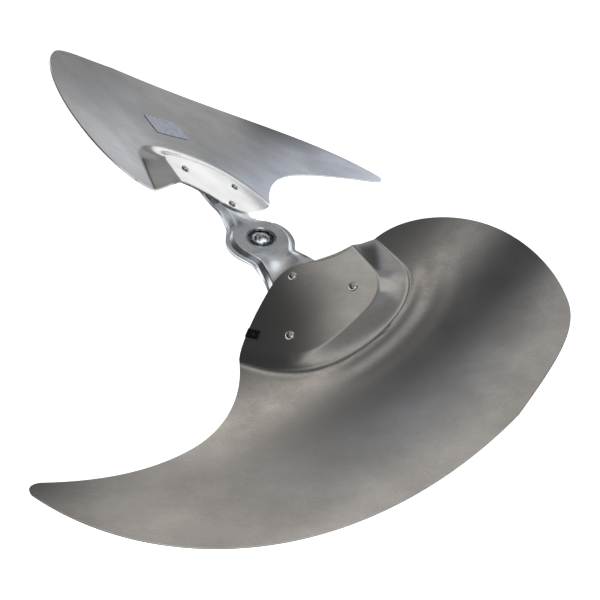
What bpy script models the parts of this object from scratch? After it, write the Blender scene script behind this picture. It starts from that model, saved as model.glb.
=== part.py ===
# Axial fan propeller: two swept sheet blades riveted to a stamped arm with a staked hub.
# Metres in Blender, driving dimensions in millimetres. The hub axis is +Z, the arm lies along X.
# Every half is the other half turned 180 degrees about Z. Shapes are worked out for the near half,
# whose blade reaches out along +X.
import math

import bmesh
import bpy
import numpy as np
from mathutils import Matrix, Vector

MM = 0.001
GAP = 0.3                  # air left between pieces that touch on the real fan

# Driving dimensions of the blade
FAN_RADIUS = 279.4         # 22 inch propeller
BLADE_SHEET = 1.6          # aluminium sheet
PITCH = math.radians(31.3)  # of the riveting pad, about the arm's axis
PAD_AXIS_HEIGHT = -0.8     # top of the pad above the origin, where the pad crosses the arm's axis
ROLL_TURN = math.radians(87.0)  # direction in plan in which the blade is curved
ROLL_BASE = -32.5          # height of the curved sheet above the origin
ROLL_SKEW = -0.164         # its slope along the roll
ROLL_SLOPE = 0.519         # its slope across the roll, at the origin
ROLL_RADIUS = 409.0        # its radius of curvature there
ROLL_GAIN = 2.3e-7         # how fast it gets steeper towards the leading edge, per square mm
TIP_ANGLE = math.radians(-63.4)  # the blunt trailing tip, on the swept circle
LEAD_ANGLE = math.radians(8.0)  # where the leading corner leaves the swept circle

# Plan outline of the near blade, in mm: Bezier pieces that run from corner to corner
ROOT_TRAIL = (92.0, -67.5)
ROOT_LEAD = (72.0, 48.0)
ROOT_EDGE = [
    [ROOT_TRAIL, (83.0, -62.0), (67.0, -42.0), (57.5, -26.0)],
    [(57.5, -26.0), (47.0, -9.0), (44.5, 3.0), (56.4, 15.4)],
    [(56.4, 15.4), (64.0, 22.5), (71.5, 32.0), ROOT_LEAD],
]
LEADING_EDGE = [
    [ROOT_LEAD, (72.0, 57.0), (69.3, 66.0), (69.4, 76.0)],
    [(69.4, 76.0), (69.8, 105.0), (112.0, 126.0), (158.0, 125.9)],
    [(158.0, 125.9), (186.0, 126.0), (214.0, 119.5), (235.0, 109.3)],
    [(235.0, 109.3), (257.0, 98.5), (264.0, 79.0), (276.7, 38.9)],
]
TRAILING_EDGE = [
    [ROOT_TRAIL, (122.0, -79.5), (149.5, -103.0), (148.7, -141.0)],
    [(148.7, -141.0), (148.5, -178.0), (132.0, -214.5), (118.0, -241.5)],
    [(118.0, -241.5), (114.5, -248.5), (117.5, -253.0), (125.1, -249.8)],
]
# Crest and foot of the stepped wall round the pad; both start inboard of the root edge
WALL_CREST = [
    [(20.0, 51.0), (45.0, 50.0), (75.0, 49.2), (106.0, 48.0)],
    [(106.0, 48.0), (119.0, 47.3), (128.0, 38.5), (130.4, 25.6)],
    [(130.4, 25.6), (133.5, 9.0), (134.5, -10.0), (130.5, -24.0)],
    [(130.5, -24.0), (126.5, -38.0), (116.0, -46.5), (88.0, -64.5)],
]
WALL_FOOT = [
    [(20.0, 78.0), (45.0, 77.0), (80.0, 74.5), (110.0, 71.3)],
    [(110.0, 71.3), (125.0, 70.0), (139.0, 61.0), (146.3, 47.5)],
    [(146.3, 47.5), (157.0, 27.0), (157.5, -4.0), (148.0, -29.0)],
    [(148.0, -29.0), (142.0, -46.0), (120.0, -61.0), (94.0, -71.0)],
]
BLADE_COLUMNS = 22         # quads from trailing to leading edge
BLADE_ROWS = 26            # quads from root to swept circle
ROW_CROWDING = 1.35        # packs the rows closer near the pad

# Driving dimensions of the arm
ARM_SHEET = 2.7            # steel sheet
ARM_END = 119.0            # reach of the arm under the pad
ARM_END_ROUND = 22.0       # length over which its end is rounded
TWIST_SPAN = (16.0, 48.0)  # where the flat hub turns to the pad's pitch
HUB_BULGE = 32.0           # half width of the arm at the hub
BULGE_CORNER = 10.0        # how tightly the bulge turns into the waist: higher is tighter
WAIST = 20.8               # half width between hub and pad
NECK = 26.0                # half width where the arm goes under the blade
NECK_SPAN = (34.0, 62.0)   # where it widens from the waist to the neck
PADDLE = 43.0              # half width under the pad
PADDLE_SPAN = (72.0, 98.0)  # where it widens to the paddle
RIM_BAND = 7.0             # width of rim and sloping side together
RIM_STEP = (4.2, 3.4)      # depth of the rim below the raised panel, beside the hub and farther out
RIM_SLOPE = (3.8, 5.2)     # width of the sloping side, at the same places
RIM_SPAN = (14.0, 40.0)    # where the rim changes from the one to the other
RIM_FADE = (72.0, 90.0)    # where the rim runs out into the flat end
ARM_STATIONS = [0, 4, 8, 12, 16, 19, 22, 25, 28, 32, 37, 42, 48, 56, 64, 72, 77, 82, 87, 92, 98, 106, 112,
                116, 119]

# Driving dimensions of the hub
PANEL_HOLE_RADIUS = 14.1
BORE_RADIUS = 6.35         # half inch motor shaft
BARREL_RADIUS = 16.0
BARREL_LENGTH = 21.0       # from the arm's panel downwards
HUB_SIDES = 40
SCREW_RADIUS = 3.9
SCREW_HEIGHT = -12.5
SCREW_ANGLES = {"set_screw_x": 0.0, "set_screw_y": 90.0}
SOCKET_RADIUS = 2.3
SOCKET_DEPTH = 4.0

# Driving dimensions of the rivets, by place: distance out along the arm and up the pitched pad
RIVETS = {"inner": (57.5, 0.0), "lead": (105.0, 33.6), "trail": (105.0, -33.6)}
RIVET_SHANK_RADIUS = 2.4
RIVET_HOLE_RADIUS = 2.75
RIVET_HEAD_RADIUS = 4.1
RIVET_HEAD_HEIGHT = 1.9
RIVET_TAIL_RADIUS = 3.6
RIVET_TAIL_HEIGHT = 1.5
RIVET_SIDES = 16

# Driving dimensions of the balance clip and the label
CLIP_SHARE = 0.155         # place of the clip along the root edge, from its trailing end
CLIP_WIDTH = 8.0
CLIP_REACH = 12.0
CLIP_SHEET = 0.9
LABEL_CENTRE = (193.8, 10.5)
LABEL_TURN = math.radians(-80.3)
LABEL_LENGTH = 40.5        # in plan
LABEL_WIDTH = 27.0
LABEL_SHEET = 0.3

# Real colours: base colour, roughness, metallic
FINISHES = {
    "blade aluminium": ((0.60, 0.59, 0.57, 1.0), 0.38, 1.0),
    "zinc plated steel": ((0.55, 0.57, 0.60, 1.0), 0.32, 1.0),
    "turned steel": ((0.50, 0.50, 0.50, 1.0), 0.28, 1.0),
    "rivet aluminium": ((0.75, 0.75, 0.74, 1.0), 0.22, 1.0),
    "black set screw": ((0.05, 0.05, 0.05, 1.0), 0.45, 1.0),
    "spring steel": ((0.12, 0.12, 0.13, 1.0), 0.40, 1.0),
    "silver foil": ((0.62, 0.64, 0.66, 1.0), 0.45, 0.6),
}


def clear_scene():
    for item in list(bpy.data.objects):
        bpy.data.objects.remove(item, do_unlink=True)


def finish(name):
    material = bpy.data.materials.get(name)
    if material is None:
        colour, roughness, metallic = FINISHES[name]
        material = bpy.data.materials.new(name)
        material.use_nodes = True
        shader = material.node_tree.nodes["Principled BSDF"]
        shader.inputs["Base Color"].default_value = colour
        shader.inputs["Roughness"].default_value = roughness
        shader.inputs["Metallic"].default_value = metallic
    return material


def add_object(name, mesh, material):
    body = bpy.data.objects.new(name, mesh)
    bpy.context.scene.collection.objects.link(body)
    mesh.materials.clear()
    mesh.materials.append(finish(material))
    return body


def mesh_from(name, points, faces):
    mesh = bpy.data.meshes.new(name)
    mesh.from_pydata([tuple(Vector(point) * MM) for point in points], [], faces)
    builder = bmesh.new()
    builder.from_mesh(mesh)
    bmesh.ops.recalc_face_normals(builder, faces=builder.faces)
    builder.to_mesh(mesh)
    builder.free()
    mesh.set_sharp_from_angle(angle=math.radians(40.0))
    return mesh


def ease(value):
    value = min(max(value, 0.0), 1.0)
    return value * value * (3.0 - 2.0 * value)


def share_of(value, span):
    # How far a value has come from a span's start to its end, eased at both.
    return ease((value - span[0]) / (span[1] - span[0]))


def bezier(pieces, steps=24):
    # Points along joined cubic Bezier pieces, without doubled joints.
    points = []
    for start, pull_out, pull_in, end in pieces:
        for step in range(steps):
            t = step / steps
            weights = ((1 - t) ** 3, 3 * t * (1 - t) ** 2, 3 * t * t * (1 - t), t ** 3)
            corners = np.array([start, pull_out, pull_in, end])
            points.append(np.dot(weights, corners))
    points.append(np.array(pieces[-1][3]))
    return np.array(points)


def along(points, shares):
    # Points at the given shares of a polyline's length.
    lengths = np.hypot(*np.diff(points, axis=0).T)
    travelled = np.concatenate([[0.0], np.cumsum(lengths)])
    targets = np.array(shares) * travelled[-1]
    return np.stack([np.interp(targets, travelled, points[:, axis]) for axis in (0, 1)], axis=1)


def distance_to(line, place):
    # Shortest distance from a place to a polyline, and whether the place lies on its right side.
    start = line[:-1]
    run = line[1:] - start
    offset = np.array(place) - start
    share = np.clip((offset * run).sum(axis=1) / (run * run).sum(axis=1), 0.0, 1.0)
    away = offset - share[:, None] * run
    lengths = np.hypot(away[:, 0], away[:, 1])
    nearest = int(lengths.argmin())
    turn = run[nearest, 0] * away[nearest, 1] - run[nearest, 1] * away[nearest, 0]
    return float(lengths[nearest]), turn < 0.0


CREST_LINE = bezier(WALL_CREST)
FOOT_LINE = bezier(WALL_FOOT)


def pad_height(x, y):
    return PAD_AXIS_HEIGHT + math.tan(PITCH) * y


def sheet_height(x, y):
    across = x * math.cos(ROLL_TURN) + y * math.sin(ROLL_TURN)
    lengthwise = -x * math.sin(ROLL_TURN) + y * math.cos(ROLL_TURN)
    curve = across ** 2 / (2.0 * ROLL_RADIUS) + ROLL_GAIN * across ** 3
    return ROLL_BASE + ROLL_SKEW * lengthwise + ROLL_SLOPE * across + curve


def blade_height(x, y):
    # Pad inside the crest, curved sheet outside the foot, and the stepped wall between them.
    past_crest, within_crest = distance_to(CREST_LINE, (x, y))
    to_foot, within_foot = distance_to(FOOT_LINE, (x, y))
    if within_crest:
        return pad_height(x, y)
    if not within_foot:
        return sheet_height(x, y)
    share = past_crest / (past_crest + to_foot)
    return (1.0 - share) * pad_height(x, y) + share * sheet_height(x, y)


def surface_normal(height, x, y, reach=0.5):
    slope_x = (height(x + reach, y) - height(x - reach, y)) / (2.0 * reach)
    slope_y = (height(x, y + reach) - height(x, y - reach)) / (2.0 * reach)
    return Vector((-slope_x, -slope_y, 1.0)).normalized()


def blade_plan():
    # Coons patch between the four plan edges: rows of (x, y) from the root out to the swept circle.
    columns = [index / BLADE_COLUMNS for index in range(BLADE_COLUMNS + 1)]
    rows = [(index / BLADE_ROWS) ** ROW_CROWDING for index in range(BLADE_ROWS + 1)]
    angles = [TIP_ANGLE + share * (LEAD_ANGLE - TIP_ANGLE) for share in columns]
    outer = FAN_RADIUS * np.array([(math.cos(angle), math.sin(angle)) for angle in angles])
    root = along(bezier(ROOT_EDGE), columns)
    trailing = along(bezier(TRAILING_EDGE), rows)
    leading = along(bezier(LEADING_EDGE), rows)
    plan = []
    for row, v in enumerate(rows):
        line = []
        for column, u in enumerate(columns):
            between_ends = (1 - v) * root[column] + v * outer[column]
            between_sides = (1 - u) * trailing[row] + u * leading[row]
            corners = (1 - v) * ((1 - u) * root[0] + u * root[-1])
            corners = corners + v * ((1 - u) * outer[0] + u * outer[-1])
            line.append(between_ends + between_sides - corners)
        plan.append(line)
    return plan


def closed_sheet(name, top_rows, bottom_rows):
    # One closed body from two like grids of points, joined round their edge.
    rows = len(top_rows)
    columns = len(top_rows[0])
    count = rows * columns
    points = [point for line in top_rows for point in line]
    points += [point for line in bottom_rows for point in line]
    faces = []
    for row in range(rows - 1):
        for column in range(columns - 1):
            corner = row * columns + column
            quad = (corner, corner + 1, corner + columns + 1, corner + columns)
            faces.append(quad)
            faces.append(tuple(count + index for index in reversed(quad)))
    rim = [column for column in range(columns - 1)]
    rim += [row * columns + columns - 1 for row in range(rows - 1)]
    rim += [(rows - 1) * columns + column for column in range(columns - 1, 0, -1)]
    rim += [row * columns for row in range(rows - 1, 0, -1)]
    for index, corner in enumerate(rim):
        following = rim[(index + 1) % len(rim)]
        faces.append((corner, count + corner, count + following, following))
    return mesh_from(name, points, faces)


def blade_mesh():
    top = []
    bottom = []
    for line in blade_plan():
        upper = [Vector((x, y, blade_height(x, y))) for x, y in line]
        lower = [point - BLADE_SHEET * surface_normal(blade_height, point.x, point.y) for point in upper]
        top.append(upper)
        bottom.append(lower)
    return closed_sheet("blade", top, bottom)


def arm_point(x, chord, height):
    # A place on the arm, from its distance along X, across the twisted sheet and off the sheet.
    side = 1.0 if x >= 0.0 else -1.0
    share = share_of(abs(x), TWIST_SPAN)
    angle = PITCH * share
    seat = PAD_AXIS_HEIGHT - (BLADE_SHEET + GAP) / math.cos(PITCH)
    y = chord * math.cos(angle) - height * math.sin(angle)
    z = seat * share + chord * math.sin(angle) + height * math.cos(angle)
    return Vector((x, side * y, z))


def arm_half_width(distance):
    bulge = math.sqrt(max(HUB_BULGE ** 2 - distance ** 2, 0.0))
    strip = WAIST + (NECK - WAIST) * share_of(distance, NECK_SPAN)
    strip += (PADDLE - NECK) * share_of(distance, PADDLE_SPAN)
    width = (bulge ** BULGE_CORNER + strip ** BULGE_CORNER) ** (1.0 / BULGE_CORNER)
    into_end = max(distance - (ARM_END - ARM_END_ROUND), 0.0) / ARM_END_ROUND
    return width * math.sqrt(max(1.0 - 0.93 * into_end ** 2, 0.0))


def rim_value(ends, distance):
    beside_hub, outside = ends
    return beside_hub + (outside - beside_hub) * share_of(distance, RIM_SPAN)


def rim_depth(distance, chord):
    fade = 1.0 - share_of(distance, RIM_FADE)
    into_rim = abs(chord) - (arm_half_width(distance) - RIM_BAND)
    return rim_value(RIM_STEP, distance) * fade * ease(into_rim / rim_value(RIM_SLOPE, distance))


def arm_columns(distance):
    # Places across the arm, packed closer over the sloping sides.
    width = arm_half_width(distance)
    edge = width - RIM_BAND
    slope = rim_value(RIM_SLOPE, distance)
    half = [edge * 0.45, edge, edge + 0.5 * slope, edge + slope, width]
    return [-value for value in reversed(half)] + [0.0] + half


def arm_mesh():
    top = []
    bottom = []
    stations = [-value for value in reversed(ARM_STATIONS[1:])] + ARM_STATIONS
    for x in stations:
        columns = arm_columns(abs(x))
        depths = [rim_depth(abs(x), chord) for chord in columns]
        side = 1.0 if x >= 0.0 else -1.0
        line = [arm_point(x, chord, -depth) for chord, depth in zip(columns, depths)]
        under = [arm_point(x, chord, -depth - ARM_SHEET) for chord, depth in zip(columns, depths)]
        top.append(line if side > 0.0 else line[::-1])
        bottom.append(under if side > 0.0 else under[::-1])
    return closed_sheet("arm", top, bottom)


def turned_mesh(name, profile, sides):
    # A closed ring or solid of revolution about Z from (radius, height) corners.
    builder = bmesh.new()
    corners = [builder.verts.new((radius * MM, 0.0, height * MM)) for radius, height in profile]
    edges = [builder.edges.new(pair) for pair in zip(corners, corners[1:])]
    if profile[0][0] > 0.0:
        edges.append(builder.edges.new((corners[-1], corners[0])))
    bmesh.ops.spin(builder, geom=corners + edges, axis=(0.0, 0.0, 1.0), cent=(0.0, 0.0, 0.0),
                   steps=sides, angle=2.0 * math.pi, use_merge=True)
    bmesh.ops.remove_doubles(builder, verts=builder.verts, dist=1e-6)
    bmesh.ops.recalc_face_normals(builder, faces=builder.faces)
    mesh = bpy.data.meshes.new(name)
    builder.to_mesh(mesh)
    builder.free()
    mesh.set_sharp_from_angle(angle=math.radians(40.0))
    return mesh


def cylinder_cutter(name, radius, length, sides, place):
    mesh = turned_mesh(name, [(0.0, -length / 2), (radius, -length / 2), (radius, length / 2),
                              (0.0, length / 2)], sides)
    cutter = bpy.data.objects.new(name, mesh)
    bpy.context.scene.collection.objects.link(cutter)
    cutter.matrix_world = place
    cutter.hide_render = True
    cutter.display_type = "WIRE"
    return cutter


def cut(body, cutter):
    change = body.modifiers.new("cut " + cutter.name, "BOOLEAN")
    change.operation = "DIFFERENCE"
    change.solver = "EXACT"
    change.object = cutter


def half_turn(side):
    return Matrix.Rotation(0.0 if side == "near" else math.pi, 4, "Z")


def rivet_place(side, spot):
    # The middle of a rivet's head, with its Z axis square to the pad.
    distance, chord = RIVETS[spot]
    y = chord * math.cos(PITCH)
    seat = Matrix.Translation(Vector((distance, y, pad_height(distance, y))) * MM)
    return half_turn(side) @ seat @ Matrix.Rotation(PITCH, 4, "X")


def add_blades():
    shared = blade_mesh()
    blades = {}
    for side in ("near", "far"):
        blade = add_object("blade_" + side, shared, "blade aluminium")
        blade.matrix_world = half_turn(side)
        blades[side] = blade
    return blades


def add_arm():
    arm = add_object("arm", arm_mesh(), "zinc plated steel")
    hole = cylinder_cutter("panel hole", PANEL_HOLE_RADIUS, 4.0 * ARM_SHEET, HUB_SIDES, Matrix())
    cut(arm, hole)
    return arm


def rivet_mesh():
    # Domed head above the pad, shank through both sheets, set tail below the arm.
    grip = BLADE_SHEET + GAP + ARM_SHEET
    head_base = GAP
    dome = []
    for step in range(4):
        angle = math.pi / 2 * step / 4
        dome.append((RIVET_HEAD_RADIUS * math.cos(angle), head_base + RIVET_HEAD_HEIGHT * math.sin(angle)))
    tail_top = -grip - GAP
    profile = [(0.0, tail_top - RIVET_TAIL_HEIGHT), (0.7 * RIVET_TAIL_RADIUS, tail_top - RIVET_TAIL_HEIGHT),
               (RIVET_TAIL_RADIUS, tail_top - 0.6 * RIVET_TAIL_HEIGHT), (RIVET_TAIL_RADIUS, tail_top),
               (RIVET_SHANK_RADIUS, tail_top), (RIVET_SHANK_RADIUS, head_base)]
    profile += dome
    profile.append((0.0, head_base + RIVET_HEAD_HEIGHT))
    return turned_mesh("rivet", profile, RIVET_SIDES)


def add_rivets(blades, arm):
    shared = rivet_mesh()
    for side, blade in blades.items():
        for spot in RIVETS:
            place = rivet_place(side, spot)
            rivet = add_object("rivet_" + side + "_" + spot, shared, "rivet aluminium")
            rivet.matrix_world = place
            hole = cylinder_cutter("hole " + rivet.name, RIVET_HOLE_RADIUS, 30.0, RIVET_SIDES, place)
            cut(blade, hole)
            cut(arm, hole)


def hub_mesh():
    shoulder = -ARM_SHEET - GAP
    bottom = -BARREL_LENGTH
    chamfer = 1.2
    spigot = PANEL_HOLE_RADIUS - GAP
    profile = [
        (BORE_RADIUS, bottom + chamfer), (BORE_RADIUS + chamfer, bottom),
        (BARREL_RADIUS - chamfer, bottom), (BARREL_RADIUS, bottom + chamfer),
        (BARREL_RADIUS, shoulder), (spigot, shoulder), (spigot, -0.5), (spigot - 1.2, -0.5),
        (spigot - 2.0, -2.4), (9.6, -2.4), (8.8, -1.3), (BORE_RADIUS + 0.6, -1.3), (BORE_RADIUS, -1.9),
    ]
    return turned_mesh("hub", profile, HUB_SIDES)


def screw_place(angle):
    out = (BORE_RADIUS + BARREL_RADIUS) / 2
    turn = Matrix.Rotation(math.radians(angle), 4, "Z")
    seat = Matrix.Translation(Vector((out, 0.0, SCREW_HEIGHT)) * MM)
    return turn @ seat @ Matrix.Rotation(math.pi / 2, 4, "Y")


def add_hub():
    hub = add_object("hub_barrel", hub_mesh(), "turned steel")
    wall = BARREL_RADIUS - BORE_RADIUS
    length = wall - 0.5
    screw = turned_mesh("set screw", [(0.0, -length / 2), (SCREW_RADIUS, -length / 2),
                                      (SCREW_RADIUS, length / 2), (0.0, length / 2)], 24)
    for name, angle in SCREW_ANGLES.items():
        place = screw_place(angle)
        hole = cylinder_cutter("hole " + name, SCREW_RADIUS + GAP, wall + 4.0, 24, place)
        cut(hub, hole)
        body = add_object(name, screw, "black set screw")
        body.matrix_world = place
        top = Matrix.Translation(Vector((0.0, 0.0, length / 2)) * MM)
        socket = cylinder_cutter("socket " + name, SOCKET_RADIUS, 2.0 * SOCKET_DEPTH, 6, place @ top)
        cut(body, socket)


def add_balance_clip():
    # Spring clip bent over the sheet's edge, in the pad's plane: x into the pad, z off it.
    inside = BLADE_SHEET + 2.0 * GAP
    outside = inside + 2.0 * CLIP_SHEET
    back = GAP + CLIP_SHEET
    profile = [(-back, -outside / 2), (CLIP_REACH * 0.7, -outside / 2), (CLIP_REACH * 0.7, -inside / 2),
               (-GAP, -inside / 2), (-GAP, inside / 2), (CLIP_REACH, inside / 2),
               (CLIP_REACH, outside / 2), (-back, outside / 2)]
    half = CLIP_WIDTH / 2
    points = [(x, -half, z) for x, z in profile] + [(x, half, z) for x, z in profile]
    count = len(profile)
    faces = [tuple(range(count)), tuple(range(2 * count - 1, count - 1, -1))]
    for index in range(count):
        following = (index + 1) % count
        faces.append((index, count + index, count + following, following))
    clip = add_object("balance_clip", mesh_from("clip", points, faces), "spring steel")
    # The root edge in the pad's own plane, and the way into the pad square to it.
    edge = bezier(ROOT_EDGE) / (1.0, math.cos(PITCH))
    before, place, after = along(edge, (CLIP_SHARE - 0.01, CLIP_SHARE, CLIP_SHARE + 0.01))
    inward = math.atan2(before[0] - after[0], after[1] - before[1])
    pad = Matrix.Translation((0.0, 0.0, PAD_AXIS_HEIGHT * MM)) @ Matrix.Rotation(PITCH, 4, "X")
    middle = Matrix.Translation(Vector((place[0], place[1], -BLADE_SHEET / 2)) * MM)
    clip.matrix_world = pad @ middle @ Matrix.Rotation(inward, 4, "Z")


def add_label():
    steps_long = 8
    steps_wide = 5
    low = []
    high = []
    for i in range(steps_wide + 1):
        low_line = []
        high_line = []
        for j in range(steps_long + 1):
            across = (i / steps_wide - 0.5) * LABEL_WIDTH
            lengthwise = (j / steps_long - 0.5) * LABEL_LENGTH
            x = LABEL_CENTRE[0] + lengthwise * math.cos(LABEL_TURN) - across * math.sin(LABEL_TURN)
            y = LABEL_CENTRE[1] + lengthwise * math.sin(LABEL_TURN) + across * math.cos(LABEL_TURN)
            ground = Vector((x, y, sheet_height(x, y)))
            normal = surface_normal(sheet_height, x, y)
            low_line.append(ground + GAP * normal)
            high_line.append(ground + (GAP + LABEL_SHEET) * normal)
        low.append(low_line)
        high.append(high_line)
    label = add_object("foil_label", closed_sheet("label", high, low), "silver foil")
    label.matrix_world = half_turn("far")


clear_scene()
blade_objects = add_blades()
arm_object = add_arm()
add_rivets(blade_objects, arm_object)
add_hub()
add_balance_clip()
add_label()
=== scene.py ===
# A two-blade sheet-metal fan propeller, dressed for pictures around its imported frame.
# Sizes in the dictionaries are millimetres, the scene is in metres. The near half reaches out
# along +X, and the far half is the same shape turned half round the hub's axis.
import math

import bmesh
import bpy
import numpy as np
from mathutils import Matrix, Vector


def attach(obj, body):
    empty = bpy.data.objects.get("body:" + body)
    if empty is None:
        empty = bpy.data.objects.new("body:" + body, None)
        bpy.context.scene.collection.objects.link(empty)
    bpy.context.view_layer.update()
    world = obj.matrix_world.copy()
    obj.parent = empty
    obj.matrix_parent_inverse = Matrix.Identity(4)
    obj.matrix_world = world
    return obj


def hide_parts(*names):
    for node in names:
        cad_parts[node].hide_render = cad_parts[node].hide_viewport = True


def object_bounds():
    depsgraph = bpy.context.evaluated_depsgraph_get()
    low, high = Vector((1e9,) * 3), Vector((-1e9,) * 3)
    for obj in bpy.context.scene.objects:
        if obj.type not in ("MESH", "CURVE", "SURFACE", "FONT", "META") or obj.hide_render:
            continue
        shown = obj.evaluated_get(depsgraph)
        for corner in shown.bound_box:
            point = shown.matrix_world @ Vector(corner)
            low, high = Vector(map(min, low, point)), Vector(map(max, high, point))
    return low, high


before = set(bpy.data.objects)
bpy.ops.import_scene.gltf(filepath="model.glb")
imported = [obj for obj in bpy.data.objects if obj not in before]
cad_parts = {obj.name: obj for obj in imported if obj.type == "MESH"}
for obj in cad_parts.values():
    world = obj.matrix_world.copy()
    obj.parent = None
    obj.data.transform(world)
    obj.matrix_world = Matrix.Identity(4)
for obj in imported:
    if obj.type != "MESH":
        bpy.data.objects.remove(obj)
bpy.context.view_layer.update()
mm = 0.001
pitch = math.radians(31.3)      # of the riveting pad, about the arm
padAxisHeight = -0.8            # where the pad's top crosses the arm's axis
bladeSheet = 1.6
armSheet = 2.7
airGap = 0.3                    # left between pieces that touch
print("frame loaded:", len(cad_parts), "nodes")


# Helpers for shapes
def meshPiece(name, points, faces, node, material, smoothAngle=32.0):
    mesh = bpy.data.meshes.new(name)
    mesh.from_pydata((np.asarray(points) * mm).tolist(), [], faces)
    builder = bmesh.new()
    builder.from_mesh(mesh)
    bmesh.ops.recalc_face_normals(builder, faces=builder.faces)
    builder.to_mesh(mesh)
    builder.free()
    mesh.shade_smooth()
    mesh.set_sharp_from_angle(angle=math.radians(smoothAngle))
    piece = bpy.data.objects.new(name, mesh)
    bpy.context.scene.collection.objects.link(piece)
    mesh.materials.append(material)
    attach(piece, "root")
    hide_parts(node)
    return piece


def placed(points, place):
    # a list of points moved by a 4x4 placement in millimetres
    turned = np.asarray(points) @ np.array(place.to_3x3()).T
    return turned + np.array(place.to_translation())


def halfTurn(points):
    return np.asarray(points) * (-1.0, -1.0, 1.0)


def ease(value):
    value = np.clip(value, 0.0, 1.0)
    return value * value * (3.0 - 2.0 * value)


def shareOf(value, span):
    # nought at the span's start, one at its end, eased between
    return ease((value - span[0]) / (span[1] - span[0]))


def bezierLine(pieces, steps=30):
    # joined cubic Bezier pieces as one polyline
    t = np.linspace(0.0, 1.0, steps, endpoint=False)[:, None]
    line = [(1 - t) ** 3 * np.array(a) + 3 * t * (1 - t) ** 2 * np.array(b)
            + 3 * t * t * (1 - t) * np.array(c) + t ** 3 * np.array(d) for a, b, c, d in pieces]
    return np.vstack(line + [[pieces[-1][3]]])


def along(line, shares):
    # points at these shares of a polyline's length
    travelled = np.concatenate([[0.0], np.cumsum(np.hypot(*np.diff(line, axis=0).T))])
    targets = np.asarray(shares) * travelled[-1]
    return np.stack([np.interp(targets, travelled, line[:, axis]) for axis in (0, 1)], axis=1)


def sideDistance(line, places):
    # distance from many places to a polyline, above zero where they lie on its left
    start = line[:-1]
    run = np.diff(line, axis=0)
    offset = places[:, None] - start[None]
    share = np.clip((offset * run).sum(2) / (run * run).sum(1), 0.0, 1.0)
    away = offset - share[..., None] * run
    lengths = np.hypot(away[..., 0], away[..., 1])
    nearest = lengths.argmin(1)
    rows = np.arange(len(places))
    turn = run[nearest, 0] * away[rows, nearest, 1] - run[nearest, 1] * away[rows, nearest, 0]
    return lengths[rows, nearest] * np.where(turn < 0.0, -1.0, 1.0)


def gridFaces(rows, columns, first=0, closed=False):
    # quads between the rows of a grid of points
    faces = []
    for r in range(rows - 1):
        for c in range(columns if closed else columns - 1):
            near = first + r * columns
            d = (c + 1) % columns
            faces.append((near + c, near + d, near + columns + d, near + columns + c))
    return faces


def turnedRing(profileAt, sides):
    # a body of revolution whose profile of (radius, height) corners may change round the axis
    rings = []
    for s in range(sides):
        angle = 2.0 * math.pi * s / sides
        rings.append([(r * math.cos(angle), r * math.sin(angle), z) for r, z in profileAt(angle)])
    columns = len(rings[0])
    points = [point for ring in rings for point in ring]
    faces = []
    for s in range(sides):
        here = s * columns
        there = (s + 1) % sides * columns
        for c in range(columns):
            d = (c + 1) % columns
            faces.append((here + c, here + d, there + d, there + c))
    return np.array(points), faces


def turnedSolid(profile, sides):
    # a body of revolution from an open profile that starts and ends on the axis
    middle = profile[1:-1]
    points = [(0.0, 0.0, profile[0][1]), (0.0, 0.0, profile[-1][1])]
    for r, z in middle:
        for s in range(sides):
            angle = 2.0 * math.pi * s / sides
            points.append((r * math.cos(angle), r * math.sin(angle), z))
    faces = gridFaces(len(middle), sides, 2, closed=True)
    last = 2 + (len(middle) - 1) * sides
    for s in range(sides):
        t = (s + 1) % sides
        faces.append((0, 2 + t, 2 + s))
        faces.append((1, last + s, last + t))
    return np.array(points), faces


def cutBody(piece, tool):
    # takes a tool's shape out of a piece, and the tool away
    change = piece.modifiers.new("cut", "BOOLEAN")
    change.operation = "DIFFERENCE"
    change.solver = "EXACT"
    change.object = tool
    bpy.context.view_layer.update()
    result = bpy.data.meshes.new_from_object(piece.evaluated_get(bpy.context.evaluated_depsgraph_get()))
    piece.modifiers.clear()
    piece.data = result
    bpy.data.objects.remove(tool)


def toolPiece(points, faces):
    mesh = bpy.data.meshes.new("tool")
    mesh.from_pydata((np.asarray(points) * mm).tolist(), [], faces)
    tool = bpy.data.objects.new("tool", mesh)
    bpy.context.scene.collection.objects.link(tool)
    return tool


# Helpers for materials
def tone(hexColour, strength=1.0):
    # sRGB hex to the linear colour that a shader wants
    parts = [int(hexColour[i:i + 2], 16) / 255.0 for i in (1, 3, 5)]
    parts = [p / 12.92 if p <= 0.04045 else ((p + 0.055) / 1.055) ** 2.4 for p in parts]
    return (parts[0] * strength, parts[1] * strength, parts[2] * strength, 1.0)


def addNode(tree, kind, settings, feeds=None):
    # a shader node with its settings and input values, fed by these sockets
    node = tree.nodes.new(kind)
    for name, value in settings.items():
        if isinstance(name, int) or name in node.inputs:
            node.inputs[name].default_value = value
        else:
            setattr(node, name, value)
    for name, socket in (feeds or {}).items():
        tree.links.new(socket, node.inputs[name])
    return node


def newMaterial(name, metallic, roughness):
    material = bpy.data.materials.new(name)
    material.use_nodes = True
    tree = material.node_tree
    shader = tree.nodes["Principled BSDF"]
    shader.inputs["Metallic"].default_value = metallic
    shader.inputs["Roughness"].default_value = roughness
    return material, tree, shader


def stretchedCoordinates(tree, turn, lengthwise, across):
    # object coordinates turned by an angle and counted in grains of this length and width
    place = addNode(tree, "ShaderNodeTexCoord", {})
    scale = (1.0 / (lengthwise * mm), 1.0 / (across * mm), 1.0 / (across * mm))
    turned = addNode(tree, "ShaderNodeMapping", {"vector_type": "POINT", "Rotation": (0.0, 0.0, turn)},
                     {"Vector": place.outputs["Object"]})
    return addNode(tree, "ShaderNodeVectorMath", {"operation": "MULTIPLY", 1: scale},
                   {0: turned.outputs[0]}).outputs[0]


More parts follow.
